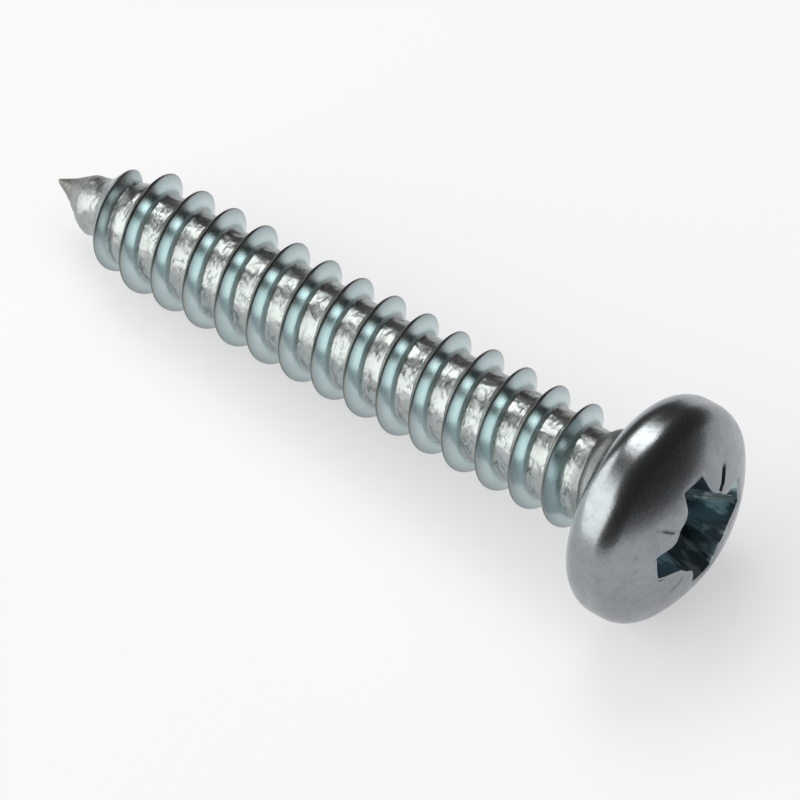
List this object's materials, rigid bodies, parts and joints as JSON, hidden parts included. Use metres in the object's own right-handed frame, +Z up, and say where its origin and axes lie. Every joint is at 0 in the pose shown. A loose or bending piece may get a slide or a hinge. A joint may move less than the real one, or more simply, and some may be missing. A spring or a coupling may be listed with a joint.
{
  "type": "sheet metal screw",
  "caption": "Self-tapping sheet metal screw with a low domed pan head, a cross recess with four radial marks, a threaded shank and a pointed end.",
  "frame": {"origin": "middle of the part's box, on the flat surface that the screw lies on", "axes": "+Z up, +X from the point towards the head along the surface; the screw's own axis lies in the XZ plane and rises by 5.07 degrees towards the head"},
  "size_m": [0.0281, 0.008, 0.008],
  "materials": {
    "zinc_steel": "bright zinc plating with a faint blue passivation, satin on the head"
  },
  "bodies": {
    "root": {"screw": "zinc_steel"}
  },
  "joints": []
}
